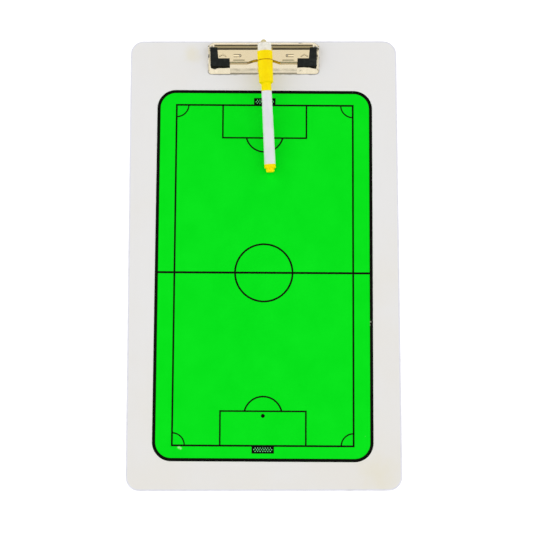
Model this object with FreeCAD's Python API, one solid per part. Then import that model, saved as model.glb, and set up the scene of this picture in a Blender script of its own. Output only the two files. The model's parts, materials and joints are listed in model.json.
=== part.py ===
import FreeCAD
import Part
import math
import os

# A coach's tactics board lying on its back. X runs across the board, Y along it towards the clip and
# Z out of the printed face. The origin is the middle of the back face. Lengths are in millimetres and
# angles in degrees.
Vec = FreeCAD.Vector
X_AXIS = Vec(1, 0, 0)
Y_AXIS = Vec(0, 1, 0)
Z_AXIS = Vec(0, 0, 1)

# Board: a hardboard core between two white sheets, with a plastic band round the edge.
board_width = 240.0
board_length = 400.0
board_corner_radius = 12.0
core_thickness = 3.4
sheet_thickness = 0.3
band_width = 1.6
band_edge_radius = 1.2

# Pitch print: green ink with black lines over it, which lies a little askew on the board.
ink_thickness = 0.1
line_thickness = 0.06
field_side_margin = 23.75
field_end_margin = 25.0
field_clip_gap = 15.1
field_corner_radius = 16.5
border_line = 2.8
pitch_side_margin = 17.3
pitch_end_margin = 13.6
print_turn = -0.4
mark_line = 1.55
area_line = 1.35
halfway_line = 1.8
centre_circle_radius = 25.4
penalty_area_width = 74.8
penalty_area_depth = 29.8
penalty_spot_depth = 25.8
penalty_arc_radius = 16.7
spot_diameter = 2.5
corner_arc_radius = 10.8
corner_line = 1.15
net_width = 19.3
net_depth = 6.6
net_frame = 1.4
net_cord = 0.95
net_columns = 7
net_lean = 53.0

# Clip base: pressed sheet with side ears for the rod, a front rim and a raised channel for the hanger.
sheet_gauge = 0.8
clip_width = 99.0
base_setback = 2.0
base_depth = 28.8
base_corner_radius = 2.5
base_back_radius = 5.5
rim_inset = 19.5
rim_width = 5.0
rim_height = 0.3
rim_radius = 2.0
ear_radius = 2.2
ear_front_setback = 2.8
ear_front_height = 1.5

# Rivets through the base and the board, clinched in counterbores that keep the back flat.
rivet_inset = 13.5
rivet_setback = 5.1
rivet_diameter = 3.2
rivet_head_diameter = 6.6
rivet_head_height = 1.2
rivet_clinch_diameter = 5.6
rivet_clinch_height = 0.8
counterbore_diameter = 6.4
counterbore_depth = 1.0
rivet_clearance = 0.1

# Hinge rod.
hinge_setback = 5.9
hinge_height = 5.3
rod_diameter = 2.0
rod_head_diameter = 2.8
rod_head_thickness = 0.4
rod_clearance = 0.05

# Lever: sheet curled over the rod as a raised roll, with a plate that slopes forward to a lip.
roll_radius = 3.6
roll_end_gap = 2.6
roll_end_angle = -10.0
roll_fillet = 0.5
plate_drop = 0.55
lever_slope = 18.0
lever_reach = 13.55
lip_depth = 3.15
bend_radius = 0.3
flange_front = 1.6
flange_depth = 3.0
lug_radius = 2.4
corner_relief = 2.2
notch_width = 30.0
notch_depth = 3.9
notch_step = 0.5
notch_lip_gap = 0.45
tongue_inset = 13.7
tongue_length = 5.8
tongue_width = 1.5
tongue_slit = 0.5
tongue_ramp = 4.6
tongue_setback = 7.05
rib_height = 0.45
rib_radius = 0.6
front_rib_notch_gap = 2.2
front_rib_grip_gap = 3.5
front_rib_setback = 11.1
chevron_inset = 4.1
chevron_setback = 6.0
chevron_length = 3.3
chevron_lean = 29.0

# Corner grips: mouldings that wrap the lever's front corners, clear of the ears, and press on the paper.
grip_gap = 1.0
grip_skin = 1.0
grip_wall = 1.1
grip_front_wall = 2.6
grip_arm_back = -0.3
grip_arm_width_back = 6.3
grip_arm_width_front = 7.1
grip_foot_width = 17.3
grip_foot_depth = 4.2
grip_pad_depth = 2.6
grip_side_depth = 2.8
grip_edge_radius = 0.35
jaw_gap = 0.1

# Double torsion spring on the rod, with one leg on each tongue and a bar across the base behind the rod.
wire_diameter = 0.75
coil_clearance = 0.1
coil_pitch = 1.4
coil_turns = 5
leg_inset = 5.6
spring_leg = 9.4
bar_setback = 3.4
bar_bend_radius = 1.5
spring_seat = 0.05
leg_slot_width = 3.0
leg_slot_angle = 45.0

# Hanger: a strip that slides out of the channel past the top edge, stopped by a pip in its slot.
hanger_width = 10.2
hanger_gauge = 0.6
hanger_overhang = 1.4
hanger_corner_radius = 2.4
hanger_nose_radius = 2.5
hanger_slot_width = 4.8
hanger_slot_end = 3.0
hanger_tail = 1.6
hanger_travel = 10.0
pip_diameter = 2.6
pip_setback = 1.6
slide_clearance = 0.1

# Marker, measured along its axis from the tail.
marker_tail_x = 5.9
felt_past_rod = 1.05
marker_yaw = 2.6
rest_gap = 0.3
stub_length = 3.6
stub_diameter = 7.4
stub_round = 1.2
flange_length = 3.4
plug_spigot_length = 6.0
barrel_length = 65.0
barrel_tail_diameter = 10.0
barrel_mouth_diameter = 9.1
barrel_bore = 7.2
nose_spigot_length = 8.0
nose_collar_diameter = 7.7
nose_collar_length = 8.0
nose_cone_length = 8.0
nose_tip_diameter = 4.8
nib_diameter = 2.8
nib_exposed = 3.6
nib_root = 5.0
nib_tip_radius = 1.1
reservoir_diameter = 6.6
reservoir_gap = 2.0
skirt_diameter = 9.0
skirt_length = 6.2
shoulder_length = 1.6
cap_mouth_diameter = 12.6
cap_end_diameter = 13.3
cap_body_length = 21.2
cap_bore_end = 0.8
holder_diameter = 13.4
holder_length = 8.0
holder_socket_diameter = 9.2
holder_socket_depth = 2.0
seam_groove = 0.45
magnet_diameter = 8.0
magnet_thickness = 2.0
felt_diameter = 12.0
felt_length = 7.2
felt_round = 0.5
felt_peg_diameter = 4.0
felt_peg_length = 4.0
flat_relief = 0.15
fit_clearance = 0.06

board_top = core_thickness + 2 * sheet_thickness
print_top = board_top + ink_thickness
base_top = board_top + sheet_gauge
base_back = board_length / 2 - base_setback
base_front = base_back - base_depth
hinge_y = base_back - hinge_setback
hinge_z = board_top + hinge_height
channel_roof = board_top + hanger_gauge + slide_clearance
channel_top = channel_roof + sheet_gauge
rivet_y = hinge_y - rivet_setback
half_clip = clip_width / 2
rivet_x = half_clip - rivet_inset
rim_half = half_clip - rim_inset
grip_outer = half_clip - sheet_gauge - grip_gap
arm_inner = grip_outer - grip_arm_width_front
foot_inner = grip_outer - grip_foot_width
half_lever = grip_outer - grip_wall
half_roll = half_lever - roll_end_gap
tongue_root = arm_inner - tongue_inset
coil_outer_end = tongue_root - leg_inset
roll_inner = roll_radius - sheet_gauge
plate_top = roll_radius - plate_drop
plate_under = plate_top - sheet_gauge
bend_outer = bend_radius + sheet_gauge
coil_radius = rod_diameter / 2 + coil_clearance + wire_diameter / 2
tongue_top = coil_radius - wire_diameter / 2 - spring_seat
field_back = base_front - field_clip_gap
field_front = field_end_margin - board_length / 2
field_length = field_back - field_front
field_width = board_width - 2 * field_side_margin
field_offset = (field_back + field_front) / 2
pitch_length = field_length - 2 * pitch_end_margin
pitch_width = field_width - 2 * pitch_side_margin


def box(x0, x1, y0, y1, z0, z1):
    return Part.makeBox(x1 - x0, y1 - y0, z1 - z0, Vec(x0, y0, z0))


def rounded(shape, radius, chosen):
    return shape.makeFillet(radius, [edge for edge in shape.Edges if chosen(edge)])


def upright(edge):
    ends = edge.Vertexes
    return len(ends) == 2 and abs(ends[0].X - ends[1].X) + abs(ends[0].Y - ends[1].Y) < 1e-6


def level(z):
    return lambda edge: all(abs(vertex.Z - z) < 1e-6 for vertex in edge.Vertexes)


def slab(width, length, radius, z0, z1, y_mid=0.0):
    block = box(-width / 2, width / 2, y_mid - length / 2, y_mid + length / 2, z0, z1)
    return rounded(block, radius, upright)


def rod_shape(radius, z0, z1, x=0.0, y=0.0):
    return Part.makeCylinder(radius, z1 - z0, Vec(x, y, z0))


def cross_rod(radius, x0, x1, y, z):
    return Part.makeCylinder(radius, x1 - x0, Vec(x0, y, z), X_AXIS)


def capsule(radius, start, end):
    run = end.sub(start)
    return Part.makeCylinder(radius, run.Length, start, run).multiFuse(
        [Part.makeSphere(radius, start), Part.makeSphere(radius, end)]
    )


def prism(points, direction):
    return Part.Face(Part.makePolygon(points + points[:1])).extrude(direction)


def side_prism(outline, x0, x1):
    return prism([Vec(x0, y, z) for y, z in outline], Vec(x1 - x0, 0, 0))


def turned(outline):
    face = Part.Face(Part.makePolygon([Vec(r, s, 0) for s, r in outline + outline[:1]]))
    return face.revolve(Vec(0, 0, 0), Y_AXIS, 360)


def tangent_point(radius, point, turn):
    distance = math.hypot(point[0], point[1])
    angle = math.atan2(point[1], point[0]) + turn * math.acos(radius / distance)
    return radius * math.cos(angle), radius * math.sin(angle)


def mirrored(shape):
    return shape.mirror(Vec(0, 0, 0), X_AXIS)


def rivet_holes(diameter, z0, z1):
    return [rod_shape(diameter / 2, z0, z1, side * rivet_x, rivet_y) for side in (-1, 1)]


parts = {}

# The panel and its sheets share one outline, and the band closes the edge flush with both faces.
inner_width = board_width - 2 * band_width
inner_length = board_length - 2 * band_width
inner_radius = board_corner_radius - band_width
through = rivet_holes(rivet_diameter + 2 * rivet_clearance, -1, board_top + 1)
recesses = rivet_holes(counterbore_diameter, -1, counterbore_depth)
levels = {
    "rear_sheet": (0, sheet_thickness),
    "board_core": (sheet_thickness, sheet_thickness + core_thickness),
    "front_sheet": (sheet_thickness + core_thickness, board_top),
}
for name, (z0, z1) in levels.items():
    parts[name] = slab(inner_width, inner_length, inner_radius, z0, z1).cut(through + recesses)

outer = slab(board_width, board_length, board_corner_radius, 0, board_top)
outer = rounded(outer, band_edge_radius, lambda edge: level(0)(edge) or level(board_top)(edge))
parts["edge_band"] = outer.cut(slab(inner_width, inner_length, inner_radius, -1, board_top + 1))


# Printed lines are thin solids on the green ink, laid out about the middle of the pitch.
def stripe(width, length, x, y):
    y = y + field_offset
    return box(x - width / 2, x + width / 2, y - length / 2, y + length / 2, print_top, line_top)


def outline_box(width, length, line, y):
    return stripe(width + line, length + line, 0, y).cut(stripe(width - line, length - line, 0, y))


def circle_line(radius, line, x, y):
    outer = rod_shape(radius + line / 2, print_top, line_top, x, y + field_offset)
    return outer.cut(rod_shape(radius - line / 2, print_top, line_top, x, y + field_offset))


line_top = print_top + line_thickness
goal_y = pitch_length / 2
net_pitch = (net_width - 2 * net_frame) / (net_columns + 0.5)
field = slab(field_width, field_length, field_corner_radius, board_top, print_top, field_offset)
border = slab(field_width, field_length, field_corner_radius, print_top, line_top, field_offset)
lines = [
    outline_box(pitch_width, pitch_length, mark_line, 0),
    stripe(field_width - 2 * border_line, halfway_line, 0, 0),
    circle_line(centre_circle_radius, mark_line, 0, 0),
]
spots = []
windows = []
for end in (-1, 1):
    area_edge = end * (goal_y - penalty_area_depth)
    spot_y = end * (goal_y - penalty_spot_depth)
    area_mid = (area_edge + end * goal_y) / 2
    lines.append(outline_box(penalty_area_width, penalty_area_depth, area_line, area_mid))
    beyond = stripe(penalty_area_width, penalty_area_depth, 0, area_edge - end * penalty_area_depth / 2)
    lines.append(circle_line(penalty_arc_radius, area_line, 0, spot_y).common(beyond))
    spots.append(rod_shape(spot_diameter / 2, print_top, line_top, 0, spot_y + field_offset))
    inside = stripe(pitch_width, pitch_length, 0, 0)
    for side in (-1, 1):
        arc = circle_line(corner_arc_radius, corner_line, side * pitch_width / 2, end * goal_y)
        lines.append(arc.common(inside))
    net_y = end * (goal_y + net_depth / 2)
    window = stripe(net_width - 2 * net_frame, net_depth - 2 * net_frame, 0, net_y)
    cords = []
    for column in range(net_columns + 2):
        middle = Vec((column - (net_columns + 1) / 2) * net_pitch, net_y + field_offset, 0)
        for lean in (-net_lean, net_lean):
            cord = stripe(2 * net_depth, net_cord, middle.x, net_y)
            cord.rotate(middle, Z_AXIS, lean)
            cords.append(cord)
    net = stripe(net_width, net_depth, 0, net_y).cut(window)
    lines.append(net.fuse(cords[0].multiFuse(cords[1:]).common(window)))
    windows.append(window.translated(Vec(0, 0, -ink_thickness)))
border_gap = slab(
    field_width - 2 * border_line,
    field_length - 2 * border_line,
    field_corner_radius - border_line,
    print_top,
    line_top,
    field_offset,
)
parts["pitch_print"] = field.cut(windows)
ink = border.cut(border_gap).multiFuse(lines).removeSplitter()
parts["line_print"] = Part.makeCompound(ink.Solids + spots)
for name in ("pitch_print", "line_print"):
    parts[name].rotate(Vec(0, field_offset, 0), Z_AXIS, print_turn)

# Clip base. The ears rise from the plate's sides and taper forward from the rod.
plate = box(-half_clip, half_clip, base_front, base_back, board_top, base_top)
plate = rounded(plate, base_back_radius, lambda edge: upright(edge) and edge.CenterOfMass.y > hinge_y)
plate = rounded(plate, base_corner_radius, lambda edge: upright(edge) and edge.CenterOfMass.y < rivet_y)
ear_foot = board_top - hinge_z
ear_front = (base_front + ear_front_setback - hinge_y, ear_foot + ear_front_height)
ear_outline = [
    (ear_front[0], ear_foot),
    ear_front,
    tangent_point(ear_radius, ear_front, -1),
    (0, 0),
    (ear_radius, 0),
    (ear_radius, ear_foot),
]
ear = side_prism(ear_outline, half_clip - sheet_gauge, half_clip)
ear = ear.fuse(cross_rod(ear_radius, half_clip - sheet_gauge, half_clip, 0, 0)).removeSplitter()
ear = ear.translated(Vec(0, hinge_y, hinge_z))

channel_half = hanger_width / 2 + slide_clearance
hanger_back = board_length / 2 + hanger_overhang
pip_y = base_back - pip_setback
slot_back = hanger_back - hanger_slot_end
slot_front = pip_y - pip_diameter / 2 - slide_clearance - hanger_travel
hanger_front = slot_front - hanger_tail
channel_front = hanger_front - slide_clearance
hump_half = channel_half + sheet_gauge
hump = box(-hump_half, hump_half, channel_front - sheet_gauge, base_back, board_top, channel_top)
hump = rounded(hump, sheet_gauge / 2, level(channel_top))
channel = box(-channel_half, channel_half, channel_front, base_back + 1, board_top, channel_roof)
pip = rod_shape(pip_diameter / 2, board_top + slide_clearance, channel_top, 0, pip_y)


def polar(radius, angle):
    return Vec(0, radius * math.cos(math.radians(angle)), radius * math.sin(math.radians(angle)))


def arc(start, middle, end):
    return Part.Arc(start, middle, end).toShape()


def line(start, end):
    return Part.LineSegment(start, end).toShape()


def arc_about(centre, radius, angles):
    return arc(*[centre + polar(radius, angle) for angle in (angles[0], sum(angles) / 2, angles[1])])


# The front rim rises gently to the front and is rounded down to the board, one gauge thick with closed ends.
def rim_shape(half, inward):
    radius = rim_radius - inward
    depth = rim_radius - rim_height - sheet_gauge
    middle = Vec(0, base_front + math.sqrt(rim_radius ** 2 - depth ** 2), board_top - depth)
    foot = Vec(0, base_front + rim_width, base_top - inward)
    reach = middle - foot
    rise = math.degrees(math.atan2(reach.z, -reach.y) + math.asin(radius / math.hypot(reach.y, reach.z)))
    front_angle = 180 - math.degrees(math.asin(depth / radius))
    back = Vec(0, foot.y, board_top)
    edges = [
        line(foot, middle + polar(radius, 90 - rise)),
        arc_about(middle, radius, (90 - rise, front_angle)),
        line(middle + polar(radius, front_angle), back),
    ]
    if inward < sheet_gauge:
        edges.append(line(back, foot))
    face = Part.Face(Part.Wire(edges))
    return face.extrude(Vec(2 * half, 0, 0)).translated(Vec(-half, 0, 0))


plate = plate.cut(box(-rim_half, rim_half, base_front, base_front + rim_width, board_top, base_top))
rim = rim_shape(rim_half, 0)
rim_hollow = rim_shape(rim_half - sheet_gauge, sheet_gauge)
base = plate.multiFuse([ear, mirrored(ear), hump, rim]).cut([channel, rim_hollow])
base = base.cut(rivet_holes(rivet_diameter + 2 * rivet_clearance, 0, channel_top))
rod_bore = rod_diameter / 2 + rod_clearance
base = base.cut(cross_rod(rod_bore, -clip_width, clip_width, hinge_y, hinge_z))
parts["clip_base"] = base.fuse(pip).removeSplitter()

# Each rivet has a domed head on the plate, and its tail is clinched below the back face's level.
clinch_bottom = counterbore_depth - rivet_clinch_height
rivets = []
for side in (-1, 1):
    x = side * rivet_x
    shank = rod_shape(rivet_diameter / 2, clinch_bottom, base_top, x, rivet_y)
    head = rod_shape(rivet_head_diameter / 2, base_top, base_top + rivet_head_height, x, rivet_y)
    head = rounded(head, 0.8 * rivet_head_height, level(base_top + rivet_head_height))
    clinch = rod_shape(rivet_clinch_diameter / 2, clinch_bottom, counterbore_depth, x, rivet_y)
    clinch = rounded(clinch, rivet_clinch_height / 2, level(clinch_bottom))
    rivets.append(shank.multiFuse([head, clinch]).removeSplitter())
parts["rivets"] = Part.makeCompound(rivets)

rod_end = half_clip + rod_head_thickness
rod = cross_rod(rod_diameter / 2, -half_clip, half_clip, hinge_y, hinge_z)
heads = []
for x0, x1 in ((-rod_end, -half_clip), (half_clip, rod_end)):
    heads.append(cross_rod(rod_head_diameter / 2, x0, x1, hinge_y, hinge_z))
parts["hinge_rod"] = rod.multiFuse(heads).removeSplitter()

# Hanger strip with a round nose and a long slot.
strip_half = hanger_width / 2
strip_z = (board_top, board_top + hanger_gauge)
shoulder = hanger_back - hanger_nose_radius
strip = box(-strip_half, strip_half, hanger_front, shoulder, *strip_z)
strip = rounded(strip, hanger_corner_radius, lambda edge: upright(edge) and edge.CenterOfMass.y > slot_back)
strip = strip.fuse(rod_shape(hanger_nose_radius, *strip_z, 0, shoulder))
slot_half = hanger_slot_width / 2
slot = box(-slot_half, slot_half, slot_front + slot_half, slot_back - slot_half, *strip_z)
slot_ends = [rod_shape(slot_half, *strip_z, 0, y) for y in (slot_front + slot_half, slot_back - slot_half)]
parts["hanger"] = strip.cut(slot.multiFuse(slot_ends)).removeSplitter()

# The lever is drawn level about the rod, with Y to the back and Z square to its plate, then tilted forward.
# Its lip is bent less than square, so that it stands upright on the tilted lever.
lever_place = FreeCAD.Placement(Vec(0, hinge_y, hinge_z), FreeCAD.Rotation(X_AXIS, lever_slope))
lip_angle = 180 - lever_slope


def lever_profile():
    """Section of the raised roll, the fillet in front of it, the plate and the lip, one gauge thick."""
    front = -lever_reach
    rod_mid = Vec(0, 0, 0)
    fillet_z = plate_top + roll_fillet
    fillet_mid = Vec(0, -math.sqrt((roll_radius + roll_fillet) ** 2 - fillet_z ** 2), fillet_z)
    fillet_angle = math.degrees(math.atan2(fillet_mid.z, fillet_mid.y))
    bend_mid = Vec(0, front + bend_outer, plate_top - bend_outer)
    roll_span = (roll_end_angle, fillet_angle)
    fillet_span = (fillet_angle + 180, 270)
    lip = polar(lip_depth - bend_outer, lip_angle + 90)
    lip_outer = bend_mid + polar(bend_outer, lip_angle)
    lip_inner = bend_mid + polar(bend_radius, lip_angle)
    edges = [
        arc_about(rod_mid, roll_radius, roll_span),
        arc_about(fillet_mid, roll_fillet, fillet_span),
        line(Vec(0, fillet_mid.y, plate_top), Vec(0, bend_mid.y, plate_top)),
        arc_about(bend_mid, bend_outer, (90, lip_angle)),
        line(lip_outer, lip_outer + lip),
        line(lip_outer + lip, lip_inner + lip),
        line(lip_inner + lip, lip_inner),
        arc_about(bend_mid, bend_radius, (90, lip_angle)),
        line(Vec(0, bend_mid.y, plate_under), Vec(0, fillet_mid.y, plate_under)),
        arc_about(fillet_mid, roll_fillet + sheet_gauge, fillet_span),
        arc_about(rod_mid, roll_inner, roll_span),
        line(polar(roll_inner, roll_end_angle), polar(roll_radius, roll_end_angle)),
    ]
    return Part.Face(Part.Wire(Part.__sortEdges__(edges)))


lever = lever_profile().extrude(Vec(2 * half_roll, 0, 0)).translated(Vec(-half_roll, 0, 0))

flange_y = -lever_reach + flange_front
flange_bottom = plate_top - flange_depth
skin = box(-half_lever, half_lever, -lever_reach, roll_radius, -roll_radius, plate_top)
skin = rounded(skin, bend_outer, lambda edge: level(plate_top)(edge) and edge.Length > lever_reach
               and abs(edge.Vertexes[0].X - edge.Vertexes[1].X) < 1e-6)
hollow_half = half_lever - sheet_gauge
hollow = box(-hollow_half, hollow_half, -2 * lever_reach, lever_reach, -2 * roll_radius, plate_under)
hollow = rounded(hollow, bend_radius, lambda edge: level(plate_under)(edge)
                 and abs(edge.Vertexes[0].X - edge.Vertexes[1].X) < 1e-6)
flange_outline = [
    (flange_y, plate_top),
    (flange_y, flange_bottom),
    tangent_point(lug_radius, (flange_y, flange_bottom), 1),
    (0, 0),
    (0, lug_radius),
    (-corner_relief, lug_radius),
    (-corner_relief, plate_top),
]
flange_zone = side_prism(flange_outline, hollow_half, half_lever).multiFuse([
    cross_rod(lug_radius, hollow_half, half_lever, 0, 0),
    box(half_roll - sheet_gauge, half_lever, flange_y, -corner_relief, flange_bottom, plate_top),
])
flange = skin.cut(hollow).common(flange_zone)
lever = lever.multiFuse([flange, mirrored(flange)])


# Finger notch in the front edge: a short step at each end, then a shallow arch, with a lip turned down
# all round it.
def notch_shape(margin, front, z0, z1):
    half = notch_half + margin
    step_y = notch_step + margin - lever_reach
    crown = Vec(0, notch_depth + margin - lever_reach, z0)
    edge = [
        line(Vec(half, step_y, z0), Vec(half, front, z0)),
        line(Vec(half, front, z0), Vec(-half, front, z0)),
        line(Vec(-half, front, z0), Vec(-half, step_y, z0)),
        arc(Vec(-half, step_y, z0), crown, Vec(half, step_y, z0)),
    ]
    return Part.Face(Part.Wire(edge)).extrude(Vec(0, 0, z1 - z0))


notch_half = notch_width / 2
notch = notch_shape(0, -lever_reach - 1, -2 * roll_radius, 2 * roll_radius)
lip_top = plate_top - sheet_gauge / 2
notch_lip = notch_shape(sheet_gauge, sheet_gauge / 2 - lever_reach, -2 * roll_radius, lip_top)
notch_floor = box(-notch_width, notch_width, 0, board_length, -board_length, base_top + notch_lip_gap)
hump_room = hump_half + notch_lip_gap
notch_floor = notch_floor.fuse(box(-hump_room, hump_room, 0, board_length, 0, channel_top + notch_lip_gap))
notch_floor.Placement = lever_place.inverse()
lever = lever.fuse(notch_lip.cut(notch_floor))


# A tongue is lanced out of the plate on each side and set down to hold a spring leg.
def round_ended(half_width):
    middle = -tongue_setback
    bar = box(tongue_end, tongue_root, middle - half_width, middle + half_width, 0, plate_top)
    return bar.fuse(rod_shape(half_width, 0, plate_top, tongue_end, middle)).removeSplitter()


tongue_half = tongue_width / 2
tongue_end = tongue_root - tongue_length
tongue_tip = tongue_end - tongue_half
window = round_ended(tongue_half + tongue_slit)
tongue_outline = [
    (tongue_root, plate_top),
    (tongue_root - tongue_ramp, tongue_top),
    (tongue_tip, tongue_top),
    (tongue_tip, tongue_top - sheet_gauge),
    (tongue_root - tongue_ramp, tongue_top - sheet_gauge),
    (tongue_root, plate_under),
]
tongue_edge = -tongue_setback - tongue_half
tongue = prism([Vec(x, tongue_edge, z) for x, z in tongue_outline], Vec(0, tongue_width, 0))
tongue = tongue.common(round_ended(tongue_half))

# Pressed ribs: one along the front edge beside the notch and a chevron near each grip, pointing back.
rib_z = plate_top + rib_height - rib_radius
rib_start = Vec(notch_half + front_rib_notch_gap, -front_rib_setback, rib_z)
rib_end = Vec(foot_inner - front_rib_grip_gap, -front_rib_setback, rib_z)
ribs = [capsule(rib_radius, rib_start, rib_end)]
chevron_tip = Vec(arm_inner - chevron_inset, -chevron_setback, rib_z)
for angle in (chevron_lean, 180 - chevron_lean):
    reach = Vec(math.cos(math.radians(angle)), math.sin(math.radians(angle)), 0) * chevron_length
    ribs.append(capsule(rib_radius, chevron_tip, chevron_tip - reach))
plate_above = box(0, half_lever, -lever_reach, 0, plate_top - sheet_gauge / 2, 2 * roll_radius)
raised = ribs[0].multiFuse(ribs[1:]).common(plate_above)

# The roll is slotted where the spring's inner legs leave the coils, and the flanges are bored for the rod.
start_angle = 90 + lever_slope
bar_z = channel_top + spring_seat + wire_diameter / 2 - hinge_z
bar_distance = math.hypot(bar_setback, bar_z)
bar_angle = math.degrees(math.atan2(bar_z, bar_setback))
leave_angle = bar_angle + math.degrees(math.acos(coil_radius / bar_distance))
wound_angle = start_angle - leave_angle + 360 * coil_turns
coil_length = coil_pitch * wound_angle / 360
coil_inner_end = coil_outer_end - coil_length
sector = [Vec(0, 0, 0), polar(3 * roll_radius, roll_end_angle - 5), polar(3 * roll_radius, leg_slot_angle)]
leg_slot = prism(sector, Vec(leg_slot_width, 0, 0))
leg_slot = leg_slot.translated(Vec(coil_inner_end - leg_slot_width / 2, 0, 0))
cuts = [notch, window, mirrored(window), leg_slot, mirrored(leg_slot)]
cuts.append(cross_rod(rod_bore, -half_clip, half_clip, 0, 0))
lever = lever.cut(cuts).multiFuse([tongue, mirrored(tongue), raised, mirrored(raised)]).removeSplitter()
lever.Placement = lever_place
parts["clip_lever"] = lever

# Corner grips are drawn on the level lever too, hollowed to its form, and cut level just above the base.
grip_front = -lever_reach - grip_front_wall
foot_back = -lever_reach + grip_foot_depth
grip_plan = [
    (grip_outer - grip_arm_width_back, -grip_arm_back),
    (grip_outer, -grip_arm_back),
    (grip_outer, grip_front),
    (foot_inner, grip_front),
    (foot_inner, foot_back),
    (arm_inner, foot_back),
]
grip_top = plate_top + grip_skin
grip_low = -2 * roll_radius
grip = prism([Vec(x, y, grip_low) for x, y in grip_plan], Vec(0, 0, grip_top - grip_low))
grip = rounded(grip, grip_edge_radius, lambda edge: level(grip_top)(edge) or upright(edge))
pad_back = -lever_reach + sheet_gauge + grip_pad_depth
under = box(0, hollow_half, pad_back, lever_reach, grip_low, plate_under)
side_low = box(hollow_half, grip_outer + 1, foot_back, lever_reach, grip_low, grip_top - grip_side_depth)
grip = grip.cut([under, side_low])
grip.Placement = lever_place
jaw_cut = box(0, clip_width, 0, board_length, -board_length, base_top + jaw_gap)
for name, shape in (("corner_grip_right", grip), ("corner_grip_left", mirrored(grip))):
    cutter = jaw_cut if name.endswith("right") else mirrored(jaw_cut)
    parts[name] = shape.cut([lever, cutter]).removeSplitter()


# The spring's centre line: a leg, a coil of half-turn arc pairs, a leg to the bar, then the mirror of these.
def arc_pair(p0, t0, p1, t1):
    """Two arcs that leave p0 along t0 and reach p1 along t1 with one shared tangent between them."""
    chord = p1 - p0
    turn = 2 * (1 - t0.dot(t1))
    along = chord.dot(t0 + t1)
    reach = (math.sqrt(along ** 2 + turn * chord.dot(chord)) - along) / turn
    corner0 = p0 + t0 * reach
    corner1 = p1 - t1 * reach
    joint = (corner0 + corner1) * 0.5
    pair = []
    for start, corner, end in ((p0, corner0, joint), (joint, corner1, p1)):
        middle = (start + end) * 0.5
        half = (end - start).Length / 2
        height = (corner - middle).Length
        crown = middle + (corner - middle) * (half * (reach - half) / height ** 2)
        pair.append(arc(start, crown, end))
    return pair


hinge = Vec(0, hinge_y, hinge_z)
steps = 2 * coil_turns
rise = coil_pitch / (2 * math.pi)
leg_way = polar(1, lever_slope)
knots = []
ways = []
for step in range(steps + 1):
    angle = start_angle - wound_angle * step / steps
    x = -coil_outer_end + coil_length * step / steps
    knots.append(hinge + Vec(x, 0, 0) + polar(coil_radius, angle))
    way = polar(coil_radius, angle - 90) + Vec(rise, 0, 0)
    ways.append(way.normalize())
down_way = polar(1, leave_angle - 90)
ways[0] = leg_way
ways[-1] = down_way
leg_tip = knots[0] - leg_way * spring_leg
bar_corner = hinge + Vec(-coil_inner_end, bar_setback, bar_z)
bend_start = bar_corner - down_way * bar_bend_radius
bend_end = bar_corner + X_AXIS * bar_bend_radius
bend_crown = bar_corner + (X_AXIS - down_way) * (bar_bend_radius * (1 - math.sqrt(0.5)))
path = [line(leg_tip, knots[0])]
for step in range(steps):
    path += arc_pair(knots[step], ways[step], knots[step + 1], ways[step + 1])
path += [line(knots[-1], bend_start), arc(bend_start, bend_crown, bend_end)]
other_half = [mirrored(edge) for edge in reversed(path)]
bar = line(bend_end, Vec(-bend_end.x, bend_end.y, bend_end.z))
wire = Part.Wire(path + [bar] + other_half)
section = Part.Wire(Part.makeCircle(wire_diameter / 2, leg_tip, leg_way))
spring = wire.makePipeShell([section], True, False)
parts["torsion_spring"] = spring.Solids[0] if spring.Solids else Part.Solid(spring)

samples = [point for edge in path[1:-2] for point in edge.discretize(9)]
least = min(
    (a - b).Length
    for i, a in enumerate(samples)
    for b in samples[i + 1:]
    if abs(a.x - b.x) > 0.6 * coil_pitch
)
print("least gap between turns", round(least - wire_diameter, 3))

# The marker is turned about Y from its tail, then laid with its tail on the board and its felt on the roll.
flange_radius = barrel_tail_diameter / 2
cap_length = skirt_length + cap_body_length + holder_length + felt_length
marker_length = stub_length + flange_length + barrel_length + fit_clearance + cap_length
marker_run = (marker_length - felt_past_rod) * math.cos(math.radians(marker_yaw))
tail_rest = print_top + line_thickness + rest_gap
marker_pitch = 0.0
for _ in range(12):
    axis_z = tail_rest + flange_radius * math.cos(marker_pitch) - stub_length * math.sin(marker_pitch)
    run = marker_length - felt_past_rod
    drop = axis_z - hinge_z
    stand = felt_diameter / 2 + roll_radius + rest_gap
    marker_pitch = math.asin(stand / math.hypot(run, drop)) - math.atan2(drop, run)
tilt = FreeCAD.Rotation(X_AXIS, math.degrees(marker_pitch))
marker_turn = FreeCAD.Rotation(Z_AXIS, marker_yaw).multiply(tilt)
marker_place = FreeCAD.Placement(Vec(marker_tail_x, hinge_y - marker_run, axis_z), marker_turn)
marker_way = marker_turn.multVec(Y_AXIS)
print("marker tilt", round(math.degrees(marker_pitch), 3), "axis", [round(v, 7) for v in marker_way])


def ring_edge(s, radius):
    def chosen(edge):
        centre = edge.BoundBox.Center
        return abs(centre.y - s) < 1e-4 and abs(edge.BoundBox.XLength / 2 - radius) < 1e-4
    return chosen


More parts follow.
